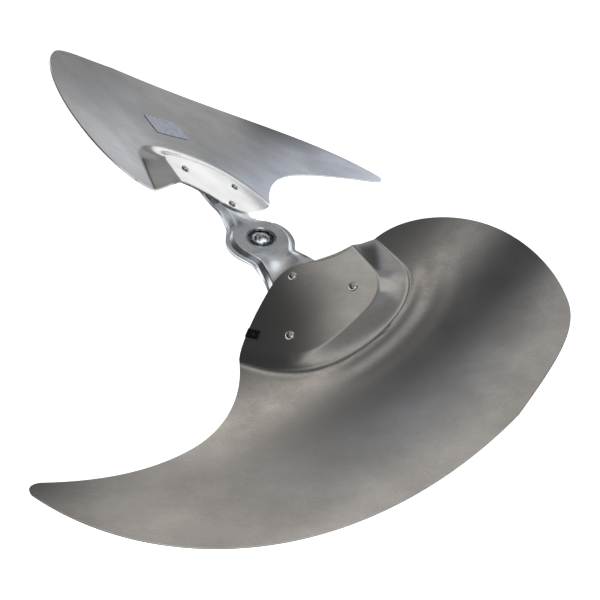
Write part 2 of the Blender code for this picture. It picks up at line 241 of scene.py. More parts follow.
def noise(tree, coordinates, detail=3.0, roughness=0.55, scale=1.0):
    return addNode(tree, "ShaderNodeTexNoise", {"Scale": scale, "Detail": detail, "Roughness": roughness},
                   {"Vector": coordinates}).outputs[0]


def spread(tree, value, low, high, fromLow=0.3, fromHigh=0.7):
    # a value between the two from numbers carried over to the range from low to high
    ranges = {"From Min": fromLow, "From Max": fromHigh, "To Min": low, "To Max": high}
    return addNode(tree, "ShaderNodeMapRange", ranges, {"Value": value}).outputs[0]


def blendTones(tree, share, first, second):
    mix = addNode(tree, "ShaderNodeMix", {"data_type": "RGBA", 6: first, 7: second})
    tree.links.new(share, mix.inputs[0])
    return mix.outputs[2]


# Rolled mill-finish aluminium sheet: long soft streaks from the mill's rolls, cloudy patches
# where the oxide is thicker, and a few bright handling scratches.
millFinish = {
    "clean": "#dedede", "dull": "#c2c2c1", "roughness": (0.10, 0.15),
    "rollingTurn": -0.9, "streakLength": 60.0, "streakWidth": 0.9,   # drawn coarser than the real 0.1 mm
    "cloud": 34.0, "scratchLength": 22.0, "scratchWidth": 0.5, "scratchShare": 0.70, "bump": 0.010,
}


def rolledAluminium(name, look):
    material, tree, shader = newMaterial(name, 1.0, 0.25)
    streaks = noise(tree, stretchedCoordinates(tree, look["rollingTurn"], look["streakLength"],
                                               look["streakWidth"]), 4.0)
    clouds = noise(tree, stretchedCoordinates(tree, look["rollingTurn"], look["cloud"] * 1.8,
                                              look["cloud"]), 5.0, 0.6)
    scratches = noise(tree, stretchedCoordinates(tree, look["rollingTurn"] + 0.5, look["scratchLength"],
                                                 look["scratchWidth"]), 1.0)
    scratch = spread(tree, scratches, 0.0, 1.0, look["scratchShare"], look["scratchShare"] + 0.06)
    both = addNode(tree, "ShaderNodeMath", {"operation": "MULTIPLY_ADD", 1: 0.45},
                   {0: streaks, 2: spread(tree, clouds, 0.0, 0.55)}).outputs[0]
    wear = spread(tree, both, 0.0, 1.0, 0.2, 0.8)
    body = blendTones(tree, wear, tone(look["dull"]), tone(look["clean"]))
    tree.links.new(body, shader.inputs["Base Color"])
    low, high = look["roughness"]
    rough = addNode(tree, "ShaderNodeMath", {"operation": "MULTIPLY_ADD", 1: 0.06},
                    {0: scratch, 2: spread(tree, wear, high, low, 0.0, 1.0)}).outputs[0]
    tree.links.new(rough, shader.inputs["Roughness"])
    height = addNode(tree, "ShaderNodeMath", {"operation": "MULTIPLY_ADD", 1: 0.6},
                     {0: scratch, 2: streaks}).outputs[0]
    bump = addNode(tree, "ShaderNodeBump", {"Strength": 0.35, "Distance": look["bump"] * mm},
                   {"Height": height})
    tree.links.new(bump.outputs[0], shader.inputs["Normal"])
    return material


# Zinc-plated pressed steel: a cool blue-grey satin with fine crystal mottling and press marks.
zincFinish = {"light": "#eceff2", "dark": "#cfd4d9", "roughness": (0.21, 0.32), "grain": 0.9,
              "patch": 14.0, "bump": 0.012}


def platedZinc(name, look):
    material, tree, shader = newMaterial(name, 1.0, 0.33)
    grain = noise(tree, stretchedCoordinates(tree, 0.3, look["grain"], look["grain"]), 4.0, 0.65)
    patches = noise(tree, stretchedCoordinates(tree, 0.9, look["patch"] * 1.6, look["patch"]), 4.0)
    both = addNode(tree, "ShaderNodeMath", {"operation": "MULTIPLY_ADD", 1: 0.5},
                   {0: grain, 2: spread(tree, patches, 0.0, 0.5)}).outputs[0]
    tree.links.new(blendTones(tree, spread(tree, both, 0.0, 1.0, 0.2, 0.8), tone(look["dark"]),
                              tone(look["light"])), shader.inputs["Base Color"])
    low, high = look["roughness"]
    tree.links.new(spread(tree, both, low, high, 0.2, 0.8), shader.inputs["Roughness"])
    bump = addNode(tree, "ShaderNodeBump", {"Strength": 0.4, "Distance": look["bump"] * mm},
                   {"Height": grain})
    tree.links.new(bump.outputs[0], shader.inputs["Normal"])
    return material


# Steel turned on a lathe and thinly plated: bright, with fine rings round the axis that the tool
# left, painted light inside the bore (a paler colour), and painted shade (a dark colour) in the staked
# groove round it.
turnedFinish = {"light": "#e2e6ea", "dark": "#b4b8bd", "roughness": (0.16, 0.30), "ringPitch": 0.35,
                # the pale bore colour is painted light, and the dark groove colour is painted shade
                "stain": 4.0, "bump": 0.02, "paintedBoreLight": "#f4f8f8", "paintedBoreLightSpan": (6.5, 7.0),
                "paintedGrooveShade": "#4a4b4c", "paintedGrooveShadeRing": (8.4, 9.2, 12.6, 13.3), "paintedGrooveShadeDepth": (-7.0, -4.0)}


def turnedMetal(name, look):
    material, tree, shader = newMaterial(name, 1.0, 0.25)
    place = addNode(tree, "ShaderNodeTexCoord", {})
    waves = 2.0 * math.pi / (20.0 * look["ringPitch"] * mm)
    rings = addNode(tree, "ShaderNodeTexWave", {"wave_type": "RINGS", "rings_direction": "Z",
                                                "Scale": waves, "Distortion": 0.6, "Detail": 2.0},
                    {"Vector": place.outputs["Object"]}).outputs[1]
    stain = noise(tree, stretchedCoordinates(tree, 0.0, look["stain"], look["stain"]), 4.0, 0.6)
    both = addNode(tree, "ShaderNodeMath", {"operation": "MULTIPLY_ADD", 1: 0.35},
                   {0: rings, 2: stain}).outputs[0]
    body = blendTones(tree, spread(tree, both, 0.0, 1.0, 0.35, 0.95), tone(look["dark"]),
                      tone(look["light"]))
    parts = addNode(tree, "ShaderNodeSeparateXYZ", {}, {0: place.outputs["Object"]}).outputs
    flat = addNode(tree, "ShaderNodeCombineXYZ", {}, {0: parts[0], 1: parts[1]}).outputs[0]
    radius = addNode(tree, "ShaderNodeVectorMath", {"operation": "LENGTH"}, {0: flat}).outputs["Value"]
    # painted shade: a dark colour laid in the staked groove round the bore, between these radii
    start, inner, outer, end = (r * mm for r in look["paintedGrooveShadeRing"])
    within = addNode(tree, "ShaderNodeMath", {"operation": "MULTIPLY"},
                     {0: spread(tree, radius, 0.0, 1.0, start, inner),
                      1: spread(tree, radius, 1.0, 0.0, outer, end)}).outputs[0]
    # painted light: inside the bore the colour turns paler, standing in for light on its wall
    boreEdge, boreEnd = (r * mm for r in look["paintedBoreLightSpan"])
    paintedBoreLight = spread(tree, radius, 1.0, 0.0, boreEdge, boreEnd)
    bright = addNode(tree, "ShaderNodeMix", {"data_type": "RGBA", 7: tone(look["paintedBoreLight"])},
                     {0: paintedBoreLight, 6: body})
    deep, shallow = (z * mm for z in look["paintedGrooveShadeDepth"])
    # the painted shade reaches only down into the groove, and is broken up a little by the stain noise
    paintedGrooveShade = addNode(tree, "ShaderNodeMath", {"operation": "MULTIPLY"},
                  {0: within, 1: spread(tree, parts[2], 0.0, 1.0, deep, shallow)}).outputs[0]
    paintedGrooveShadeShare = addNode(tree, "ShaderNodeMath", {"operation": "MULTIPLY"},
                   {0: paintedGrooveShade, 1: spread(tree, stain, 1.0, 0.55)}).outputs[0]
    mix = addNode(tree, "ShaderNodeMix", {"data_type": "RGBA", 7: tone(look["paintedGrooveShade"])},
                  {0: paintedGrooveShadeShare, 6: bright.outputs[2]})
    tree.links.new(mix.outputs[2], shader.inputs["Base Color"])
    low, high = look["roughness"]
    tree.links.new(spread(tree, stain, low, high), shader.inputs["Roughness"])
    bump = addNode(tree, "ShaderNodeBump", {"Strength": 0.3, "Distance": look["bump"] * mm},
                   {"Height": rings})
    tree.links.new(bump.outputs[0], shader.inputs["Normal"])
    return material


# Plain metals with a worked surface: pressed rivet heads, blued spring steel, black oxide screws
# and the label's metal foil differ in tone, gloss and the size of their marks.
workedFinishes = {
    # bright soft domes, a little cloudy from the press tool
    "pressed aluminium": {"light": "#e3e3e1", "dark": "#bcbbb8", "roughness": (0.14, 0.26),
                          "mark": 1.2, "bump": 0.02, "metallic": 1.0},
    # blue-black and half glossy
    "blued spring steel": {"light": "#4d5057", "dark": "#25262b", "roughness": (0.20, 0.34),
                           "mark": 2.0, "bump": 0.01, "metallic": 1.0},
    # dull black with an oily sheen
    "black oxide steel": {"light": "#3a3a3c", "dark": "#1d1d1f", "roughness": (0.34, 0.50),
                          "mark": 0.8, "bump": 0.02, "metallic": 1.0},
    # cool pale silver, more matt than the sheet under it
    "silver foil": {"light": "#d5d9df", "dark": "#b4b9c2", "roughness": (0.34, 0.46),
                    "mark": 3.5, "bump": 0.03, "metallic": 0.75},
}


def workedMetal(name):
    look = workedFinishes[name]
    low, high = look["roughness"]
    material, tree, shader = newMaterial(name, look["metallic"], (low + high) / 2.0)
    marks = noise(tree, stretchedCoordinates(tree, 0.4, look["mark"] * 2.5, look["mark"]), 4.0, 0.6)
    tree.links.new(blendTones(tree, spread(tree, marks, 0.0, 1.0), tone(look["dark"]),
                              tone(look["light"])), shader.inputs["Base Color"])
    tree.links.new(spread(tree, marks, high, low), shader.inputs["Roughness"])
    bump = addNode(tree, "ShaderNodeBump", {"Strength": 0.3, "Distance": look["bump"] * mm},
                   {"Height": marks})
    tree.links.new(bump.outputs[0], shader.inputs["Normal"])
    return material


aluminium = rolledAluminium("rolled mill-finish aluminium", millFinish)
zinc = platedZinc("zinc-plated pressed steel", zincFinish)
turned = turnedMetal("turned steel", turnedFinish)
rivetMetal = workedMetal("pressed aluminium")
springSteel = workedMetal("blued spring steel")
blackSteel = workedMetal("black oxide steel")
foil = workedMetal("silver foil")
print("materials made")


# The blades: one rolled sheet each, pressed into a flat pad with a stepped wall round it
blade = {
    "rollTurn": math.radians(87.0), "rollBase": -32.5, "rollSkew": -0.164, "rollSlope": 0.519,
    "rollRadius": 409.0, "rollGain": 2.3e-7, "fanRadius": 279.4,
    "tipAngle": math.radians(-63.4), "leadAngle": math.radians(8.0),
    "columns": 210, "rows": 185, "padRows": (0.70, 0.43),   # 0.70 of the rows in the first 0.43
    "crestRound": 0.8, "footRound": 0.9, "edgeRound": 0.4,
    "softening": 6.0, "softSpan": (-8.0, -46.0), "crestMost": 0.30, "footMost": 0.45,   # bends by the clip
    "ripple": 0.085, "rippleLength": 16.0, "rippleReach": 14.0,   # left beyond the foot by the press
    "rippleFromX": (118.0, 138.0), "rippleFromY": (-30.0, 0.0),
    "rootEdge": [[(92.0, -67.5), (83.0, -62.0), (67.0, -42.0), (57.5, -26.0)],
                 [(57.5, -26.0), (47.0, -9.0), (44.5, 3.0), (56.4, 15.4)],
                 [(56.4, 15.4), (64.0, 22.5), (71.5, 32.0), (72.0, 48.0)]],
    "leadingEdge": [[(72.0, 48.0), (72.0, 57.0), (69.3, 66.0), (69.4, 76.0)],
                    [(69.4, 76.0), (69.8, 105.0), (112.0, 126.0), (158.0, 125.9)],
                    [(158.0, 125.9), (186.0, 126.0), (214.0, 119.5), (235.0, 109.3)],
                    [(235.0, 109.3), (257.0, 98.5), (264.0, 79.0), (276.7, 38.9)]],
    "trailingEdge": [[(92.0, -67.5), (122.0, -79.5), (149.5, -103.0), (148.7, -141.0)],
                     [(148.7, -141.0), (148.5, -178.0), (132.0, -214.5), (118.0, -241.5)],
                     [(118.0, -241.5), (114.5, -248.5), (117.5, -253.0), (125.1, -249.8)]],
    "wallCrest": [[(20.0, 51.0), (45.0, 50.0), (75.0, 49.2), (106.0, 48.0)],
                  [(106.0, 48.0), (119.0, 47.3), (128.0, 38.5), (130.4, 25.6)],
                  [(130.4, 25.6), (133.5, 9.0), (134.5, -10.0), (130.5, -24.0)],
                  [(130.5, -24.0), (126.5, -38.0), (116.0, -46.5), (88.0, -64.5)]],
    "wallFoot": [[(20.0, 78.0), (45.0, 77.0), (80.0, 74.5), (110.0, 71.3)],
                 [(110.0, 71.3), (125.0, 70.0), (139.0, 61.0), (146.3, 47.5)],
                 [(146.3, 47.5), (157.0, 27.0), (157.5, -4.0), (148.0, -29.0)],
                 [(148.0, -29.0), (142.0, -46.0), (120.0, -61.0), (94.0, -71.0)]],
}
crestLine = bezierLine(blade["wallCrest"])
footLine = bezierLine(blade["wallFoot"])


def padHeight(x, y):
    return padAxisHeight + math.tan(pitch) * y


def sheetHeight(x, y):
    turn = blade["rollTurn"]
    across = x * math.cos(turn) + y * math.sin(turn)
    lengthwise = -x * math.sin(turn) + y * math.cos(turn)
    curve = across ** 2 / (2.0 * blade["rollRadius"]) + blade["rollGain"] * across ** 3
    return blade["rollBase"] + blade["rollSkew"] * lengthwise + blade["rollSlope"] * across + curve


def bladeHeight(places):
    # the pad inside the crest, the rolled sheet outside the foot, a wall with rounded bends between
    x, y = places[:, 0], places[:, 1]
    pastCrest = sideDistance(crestLine, places)
    toFoot = -sideDistance(footLine, places)
    width = np.maximum(np.abs(pastCrest + toFoot), 2.0)
    share = pastCrest / np.where(np.abs(pastCrest + toFoot) < 2.0, 2.0, pastCrest + toFoot)
    share = np.where(toFoot <= 0.0, 1.0 - toFoot / width, share)
    share = np.where(pastCrest <= 0.0, pastCrest / width, share)
    softer = 1.0 + blade["softening"] * shareOf(y, blade["softSpan"])
    crest = np.clip(blade["crestRound"] * softer / width, 0.02, blade["crestMost"])
    foot = np.clip(blade["footRound"] * softer / width, 0.02, blade["footMost"])
    rise = np.clip(share, 0.0, 1.0)
    rise = np.where(np.abs(share) < crest, (share + crest) ** 2 / (4.0 * crest), rise)
    rise = np.where(np.abs(share - 1.0) < foot, 1.0 - (1.0 + foot - share) ** 2 / (4.0 * foot), rise)
    past = np.maximum(-toFoot, 0.0)
    wave = np.sin(2.0 * math.pi * past / blade["rippleLength"]) * np.exp(-past / blade["rippleReach"])
    nearCorner = shareOf(x, blade["rippleFromX"]) * shareOf(y, blade["rippleFromY"])
    ripple = blade["ripple"] * wave * nearCorner
    return (1.0 - rise) * padHeight(x, y) + rise * sheetHeight(x, y) + ripple


def surfaceNormal(height, places, reach=0.35):
    stepX, stepY = np.array([reach, 0.0]), np.array([0.0, reach])
    slopeX = (height(places + stepX) - height(places - stepX)) / (2.0 * reach)
    slopeY = (height(places + stepY) - height(places - stepY)) / (2.0 * reach)
    normal = np.stack([-slopeX, -slopeY, np.ones(len(places))], axis=1)
    return normal / np.linalg.norm(normal, axis=1)[:, None]


def bladePlan(rows, columns):
    # a Coons patch between the four plan edges, from the root out to the swept circle
    u = np.linspace(0.0, 1.0, columns)
    rowShare, reachShare = blade["padRows"]
    v = np.interp(np.linspace(0.0, 1.0, rows), (0.0, rowShare, 1.0), (0.0, reachShare, 1.0))
    angle = blade["tipAngle"] + u * (blade["leadAngle"] - blade["tipAngle"])
    outer = blade["fanRadius"] * np.stack([np.cos(angle), np.sin(angle)], axis=1)
    root = along(bezierLine(blade["rootEdge"]), u)
    trailing = along(bezierLine(blade["trailingEdge"]), v)[:, None]
    leading = along(bezierLine(blade["leadingEdge"]), v)[:, None]
    u, v = u[None, :, None], v[:, None, None]
    ends = (1 - v) * root[None] + v * outer[None]
    sides = (1 - u) * trailing + u * leading
    corners = (1 - v) * ((1 - u) * root[0] + u * root[-1]) + v * ((1 - u) * outer[0] + u * outer[-1])
    return ends + sides - corners


def rimLoop(rows, columns):
    # indices of a grid's border, in order round it
    loop = list(range(columns - 1))
    loop += [r * columns + columns - 1 for r in range(rows - 1)]
    loop += [(rows - 1) * columns + c for c in range(columns - 1, 0, -1)]
    return np.array(loop + [r * columns for r in range(rows - 1, 0, -1)])


def sheetBody(top, normals, thickness, rows, columns, roundness):
    # a closed sheet with broken edges: both skins drawn in a little, and a rim between them
    rim = rimLoop(rows, columns)
    bottom = top - thickness * normals
    count = rows * columns
    edgeTop = top[rim] - roundness * normals[rim]
    edgeBottom = top[rim] - (thickness - roundness) * normals[rim]
    run = np.roll(top[rim], -1, axis=0) - np.roll(top[rim], 1, axis=0)
    inward = np.cross(normals[rim], run)
    inward /= np.maximum(np.linalg.norm(inward, axis=1), 1e-9)[:, None]
    top, bottom = top.copy(), bottom.copy()
    top[rim] += roundness * inward
    bottom[rim] += roundness * inward
    points = np.vstack([top, bottom, edgeTop, edgeBottom])
    faces = gridFaces(rows, columns)
    faces += [tuple(count + i for i in reversed(face)) for face in gridFaces(rows, columns)]
    size = len(rim)
    first, second = 2 * count, 2 * count + size
    for i in range(size):
        j = (i + 1) % size
        faces.append((rim[i], first + i, first + j, rim[j]))
        faces.append((first + i, second + i, second + j, first + j))
        faces.append((second + i, count + rim[i], count + rim[j], second + j))
    return points, [tuple(int(i) for i in face) for face in faces]


plan = bladePlan(blade["rows"], blade["columns"]).reshape(-1, 2)
bladeTop = np.column_stack([plan, bladeHeight(plan)])
bladePoints, bladeFaces = sheetBody(bladeTop, surfaceNormal(bladeHeight, plan), bladeSheet,
                                    blade["rows"], blade["columns"], blade["edgeRound"])
meshPiece("bladeSheetNear", bladePoints, bladeFaces, "blade_near", aluminium)
meshPiece("bladeSheetFar", halfTurn(bladePoints), bladeFaces, "blade_far", aluminium)
print("blades made:", len(bladeFaces), "faces each")


# The arm: one pressed steel strip, flat at the hub, twisted to the pitch under both pads, with a
# raised panel whose sides step down to a rim
arm = {
    "end": 119.0, "endRound": 22.0, "endNarrowing": 0.93, "twistSpan": (16.0, 48.0),
    "hubBulge": 32.0, "bulgeCorner": 10.0,
    "waist": 20.8, "neck": 26.0, "neckSpan": (34.0, 62.0), "paddle": 43.0, "paddleSpan": (72.0, 98.0),
    "rimBand": 7.0, "rimStep": (4.2, 3.4), "rimSlope": (3.8, 5.2), "rimSpan": (14.0, 40.0),
    "rimFade": (72.0, 90.0), "bend": 0.6,
    "panelHole": 14.1, "holeChamfer": 0.6, "holeSides": 96, "edgeRound": 0.5, "creaseAngle": 40.0,
    "stations": 280, "crowding": 1.05, "panelColumns": 20, "sideColumns": 18, "rimColumns": 9,
}


def armPoint(x, chord, height):
    # a place on the arm, from its distance along X, across the twisted sheet and off the sheet
    share = shareOf(np.abs(x), arm["twistSpan"])
    seat = padAxisHeight - (bladeSheet + airGap) / math.cos(pitch)
    angle = pitch * share
    y = chord * np.cos(angle) - height * np.sin(angle)
    z = seat * share + chord * np.sin(angle) + height * np.cos(angle)
    return np.stack([x, np.where(x >= 0.0, 1.0, -1.0) * y, z], axis=-1)


def armHalfWidth(distance):
    bulge = np.sqrt(np.maximum(arm["hubBulge"] ** 2 - distance ** 2, 0.0))
    strip = arm["waist"] + (arm["neck"] - arm["waist"]) * shareOf(distance, arm["neckSpan"])
    strip = strip + (arm["paddle"] - arm["neck"]) * shareOf(distance, arm["paddleSpan"])
    corner = arm["bulgeCorner"]
    width = (bulge ** corner + strip ** corner) ** (1.0 / corner)
    intoEnd = np.maximum(distance - (arm["end"] - arm["endRound"]), 0.0) / arm["endRound"]
    return width * np.sqrt(np.maximum(1.0 - arm["endNarrowing"] * intoEnd ** 2, 0.0))


def rimValue(name, distance):
    # the rim is steepest beside the hub and shallower where the arm is twisted
    atHub, outside = arm[name]
    return atHub + (outside - atHub) * shareOf(distance, arm["rimSpan"])


def stepDown(into, slope, bend):
    # share of the rim's step at a distance into its sloping side, with both bends rounded
    straight = np.clip(into / slope, 0.0, 1.0)
    upper = (into + bend) ** 2 / (4.0 * bend * slope)
    lower = 1.0 - (slope + bend - into) ** 2 / (4.0 * bend * slope)
    straight = np.where(np.abs(into) < bend, upper, straight)
    return np.where(np.abs(into - slope) < bend, lower, straight)


def armGrid():
    # rows along the arm, and across it columns that follow the panel's crease and the rim
    t = np.linspace(-1.0, 1.0, arm["stations"])
    x = (arm["end"] * np.sign(t) * np.abs(t) ** arm["crowding"])[:, None]
    width = armHalfWidth(np.abs(x))
    edge = width - arm["rimBand"]
    bend, slope = arm["bend"], rimValue("rimSlope", np.abs(x))
    panel = np.linspace(0.0, 1.0, arm["panelColumns"], endpoint=False)[None] * (edge - bend)
    share = np.linspace(0.0, 1.0, arm["sideColumns"], endpoint=False)[None]
    side = edge - bend + share * (slope + 2.0 * bend)
    rim = np.linspace(0.0, 1.0, arm["rimColumns"])[None]
    rim = edge + slope + bend + rim * (arm["rimBand"] - slope - bend)
    half = np.hstack([panel, side, rim])
    chord = np.hstack([-half[:, :0:-1], half])
    fade = 1.0 - shareOf(np.abs(x), arm["rimFade"])
    depth = rimValue("rimStep", np.abs(x)) * fade * stepDown(np.abs(chord) - edge, slope, bend)
    x = x + 0.0 * chord
    turned = np.where(x >= 0.0, chord, chord[:, ::-1])   # keeps the rows running one way across
    depth = np.where(x >= 0.0, depth, depth[:, ::-1])
    return armPoint(x, turned, -depth), armPoint(x, turned, -depth - armSheet)


top, bottom = armGrid()
rows, columns = top.shape[:2]
top, bottom = top.reshape(-1, 3), bottom.reshape(-1, 3)
armPoints, armFaces = sheetBody(top, (top - bottom) / armSheet, armSheet, rows, columns, arm["edgeRound"])
armPiece = meshPiece("armPressing", armPoints, armFaces, "arm", zinc,
                     arm["creaseAngle"])
holeRadius, chamfer = arm["panelHole"], arm["holeChamfer"]
punch, punchFaces = turnedSolid([(0.0, -9.0), (holeRadius, -9.0), (holeRadius, -chamfer),
                                 (holeRadius + chamfer, 0.0), (holeRadius + chamfer, 3.0), (0.0, 3.0)],
                                arm["holeSides"])
cutBody(armPiece, toolPiece(punch, punchFaces))
armPiece.data.set_sharp_from_angle(angle=math.radians(arm["creaseAngle"]))
print("arm pressed and punched:", len(armFaces), "faces")


# The hub: a turned barrel whose top is staked over the arm with a ring of punch lobes
hub = {"bore": 6.35, "barrel": 16.0, "length": 21.0, "spigot": 13.75, "chamfer": 1.2,
       "creaseAngle": 30.0, "lobes": 7, "lobeDepth": 1.5, "lobeReach": 12.2, "lobeSharpness": 0.7,
       "grooveOuter": [(0.5, -0.5), (0.0, -0.9), (-0.6, -2.9), (-1.3, -3.3)],   # out from the lobed wall
       "grooveInner": [(9.3, -3.2), (8.9, -2.7), (8.7, -1.2), (8.3, -0.8)],
       "screwHeight": -12.5, "screwHole": 4.15, "drillOut": 11.2, "drillHalf": 8.0, "drillSides": 40,
       "sides": 196}


def hubProfile(angle):
    # the barrel from its lower end upwards, the staked groove, then down the bore
    lobe = abs(math.sin(hub["lobes"] * angle / 2.0)) ** hub["lobeSharpness"]
    wallTop = hub["lobeReach"] - hub["lobeDepth"] * (1.0 - lobe)
    shoulder = -armSheet - airGap
    low = -hub["length"]
    bore, barrel, soft, spigot = (hub[part] for part in ("bore", "barrel", "chamfer", "spigot"))
    profile = [(bore, low + soft), (bore + soft, low), (barrel - soft, low), (barrel, low + soft),
               (barrel, -6.0), (barrel, shoulder - 0.5), (barrel - 0.5, shoulder),
               (spigot, shoulder), (spigot, -1.0), (spigot - 0.4, -0.55)]
    profile += [(wallTop + out, z) for out, z in hub["grooveOuter"]] + hub["grooveInner"]
    return profile + [(bore + 1.1, -0.8), (bore + 0.3, -1.2), (bore, -2.0), (bore, -18.5)]


hubPoints, hubFaces = turnedRing(hubProfile, hub["sides"])
hubPiece = meshPiece("hubBarrelTurned", hubPoints, hubFaces, "hub_barrel", turned,
                     hub["creaseAngle"])
screwTurns = {"set_screw_x": 0.0, "set_screw_y": 90.0}


def screwPlace(turn, out):
    # lies along a radius of the hub, this far out
    swing = Matrix.Rotation(math.radians(turn), 4, "Z")
    outward = swing @ Matrix.Translation((out, 0.0, hub["screwHeight"]))
    return outward @ Matrix.Rotation(math.pi / 2, 4, "Y")


hole, half = hub["screwHole"], hub["drillHalf"]
drill, drillFaces = turnedSolid([(0.0, -half), (hole, -half), (hole, half), (0.0, half)],
                                hub["drillSides"])
for turn in screwTurns.values():
    cutBody(hubPiece, toolPiece(placed(drill, screwPlace(turn, hub["drillOut"])), drillFaces))
hubPiece.data.set_sharp_from_angle(angle=math.radians(hub["creaseAngle"]))
print("hub made")


# The two set screws: black steel with a hexagon socket and a cupped point
screw = {"radius": 3.9, "thread": 0.7, "threadDepth": 0.35, "length": 9.15, "out": 11.175,
         "socket": 2.0, "socketDepth": 3.6, "sides": 72}


def screwProfile(angle):
    half = screw["length"] / 2.0
    sixth = math.pi / 3.0
    flat = screw["socket"] / math.cos((angle % sixth) - sixth / 2.0)
    profile = [(0.4, -half + 1.0), (2.4, -half), (3.2, -half)]
    turns = int((screw["length"] - 1.6) / screw["thread"])
    for t in range(turns):
        base = -half + 0.8 + screw["thread"] * t
        profile += [(screw["radius"] - screw["threadDepth"], base),
                    (screw["radius"], base + screw["thread"] / 2.0)]
    profile += [(3.4, half - 0.3), (3.0, half), (flat + 0.25, half), (flat, half - 0.35),
                (flat, half - screw["socketDepth"]), (0.4, half - screw["socketDepth"] - 0.8)]
    return profile


screwPoints, screwFaces = turnedRing(screwProfile, screw["sides"])
for node, turn in screwTurns.items():
    points = placed(screwPoints, screwPlace(turn, screw["out"]))
    meshPiece(node.replace("set_screw", "socketScrew"), points, screwFaces, node,
              blackSteel)
print("set screws made")


# The rivets: domed heads on the pad, shanks through both sheets and set tails under the arm
rivet = {"inner": (57.5, 0.0), "lead": (105.0, 33.6), "trail": (105.0, -33.6), "head": 4.1, "rise": 1.9,
         "headEdge": 0.12, "domeSteps": 14, "shank": 2.4, "tail": 3.6, "tailRise": 1.5, "sides": 48}


def rivetProfile():
    grip = bladeSheet + airGap + armSheet
    under = -grip - airGap
    edge = airGap + rivet["headEdge"]
    profile = [(0.0, under - rivet["tailRise"] + 0.25), (1.1, under - rivet["tailRise"] + 0.1),
               (0.75 * rivet["tail"], under - rivet["tailRise"]), (0.93 * rivet["tail"], under - 1.25),
               (rivet["tail"], under - 0.8), (rivet["tail"] - 0.1, under - 0.1), (rivet["shank"], under),
               (rivet["shank"], airGap), (rivet["head"] - 0.2, airGap), (rivet["head"], edge)]
    for step in range(1, rivet["domeSteps"]):
        angle = math.pi / 2 * step / rivet["domeSteps"]
        profile.append((rivet["head"] * math.cos(angle) ** 0.9,
                        edge + (rivet["rise"] - rivet["headEdge"]) * math.sin(angle)))
    profile.append((0.0, airGap + rivet["rise"]))
    return profile


rivetPoints, rivetFaces = turnedSolid(rivetProfile(), rivet["sides"])
for side in ("near", "far"):
    for spot in ("inner", "lead", "trail"):
        distance, chord = rivet[spot]
        y = chord * math.cos(pitch)
        seat = Matrix.Translation((distance, y, padHeight(distance, y))) @ Matrix.Rotation(pitch, 4, "X")
        points = placed(rivetPoints, seat)
        if side == "far":
            points = halfTurn(points)
        meshPiece("rivet" + side.capitalize() + spot.capitalize(), points, rivetFaces,
                  "rivet_" + side + "_" + spot, rivetMetal)
print("rivets made")


# The balance clip: a bent strip of spring steel pinched over the near blade's root edge
clip = {"share": 0.155, "width": 8.0, "reach": 12.0, "underReach": 8.4, "sheet": 0.9, "round": 0.25,
        "foldDepth": 0.56, "dimple": 0.55, "dimpleRadius": 1.7, "dimpleAt": 0.62, "creaseAngle": 35.0}


def clipBody():
    # the strip's path round the sheet's edge, swept across its width
    middle = bladeSheet / 2.0 + airGap + clip["sheet"] / 2.0
    path = [(clip["reach"], middle), (clip["reach"] - 1.0, middle)]
    path += [(x, middle) for x in np.linspace(clip["reach"] - 1.5, 0.6, 24)]
    for angle in np.linspace(math.pi / 2, 3 * math.pi / 2, 17)[1:-1]:
        path.append((0.1 + middle * clip["foldDepth"] * math.cos(angle), middle * math.sin(angle)))
    path += [(x, -middle) for x in np.linspace(0.6, clip["underReach"], 14)]
    path = np.array(path)
    run = np.gradient(path, axis=0)
    normal = np.stack([-run[:, 1], run[:, 0]], axis=1)
    normal /= np.linalg.norm(normal, axis=1)[:, None]
    across = np.linspace(-clip["width"] / 2.0, clip["width"] / 2.0, 21)
    rings = []
    for spot, out in zip(path, normal):
        outside, insideLine = [], []
        for w in across:
            near = math.hypot(spot[0] - clip["reach"] * clip["dimpleAt"], w) / clip["dimpleRadius"]
            dent = clip["dimple"] * max(1.0 - near ** 2, 0.0) ** 2 if spot[1] > 0.0 else 0.0
            edge = max(abs(w) - (clip["width"] / 2.0 - clip["round"]), 0.0) / clip["round"]
            thick = clip["sheet"] / 2.0 - clip["round"] * (1.0 - math.sqrt(1.0 - edge ** 2 * 0.96))
            a = spot - out * thick
            b = spot + out * thick
            outside.append((a[0], w, a[1] - dent * 0.5))
            insideLine.append((b[0], w, b[1]))
        rings.append(outside + insideLine[::-1])
    columns = len(rings[0])
    points = [point for ring in rings for point in ring]
    faces = gridFaces(len(rings), columns, closed=True)
    faces.append(tuple(range(columns)))
    faces.append(tuple(reversed(range((len(rings) - 1) * columns, len(rings) * columns))))
    return np.array(points), faces


flatEdge = bezierLine(blade["rootEdge"]) / (1.0, math.cos(pitch))
before, spot, after = along(flatEdge, (clip["share"] - 0.01, clip["share"], clip["share"] + 0.01))
inwardTurn = math.atan2(before[0] - after[0], after[1] - before[1])
padPlane = Matrix.Translation((0.0, 0.0, padAxisHeight)) @ Matrix.Rotation(pitch, 4, "X")
clipPlace = padPlane @ Matrix.Translation((spot[0], spot[1], -bladeSheet / 2.0)) @ Matrix.Rotation(
    inwardTurn, 4, "Z")
clipPoints, clipFaces = clipBody()
meshPiece("balanceClipSpring", placed(clipPoints, clipPlace), clipFaces, "balance_clip",
          springSteel, clip["creaseAngle"])


# The label: thin foil with rounded corners, pressed onto the far blade and left blank
label = {"centre": (193.8, 10.5), "turn": math.radians(-80.3), "length": 40.5, "width": 27.0,
         "sheet": 0.3, "corner": 1.6, "edgeRound": 0.08, "rows": 28, "columns": 40}


def rolledHeight(places):
    return sheetHeight(places[:, 0], places[:, 1])


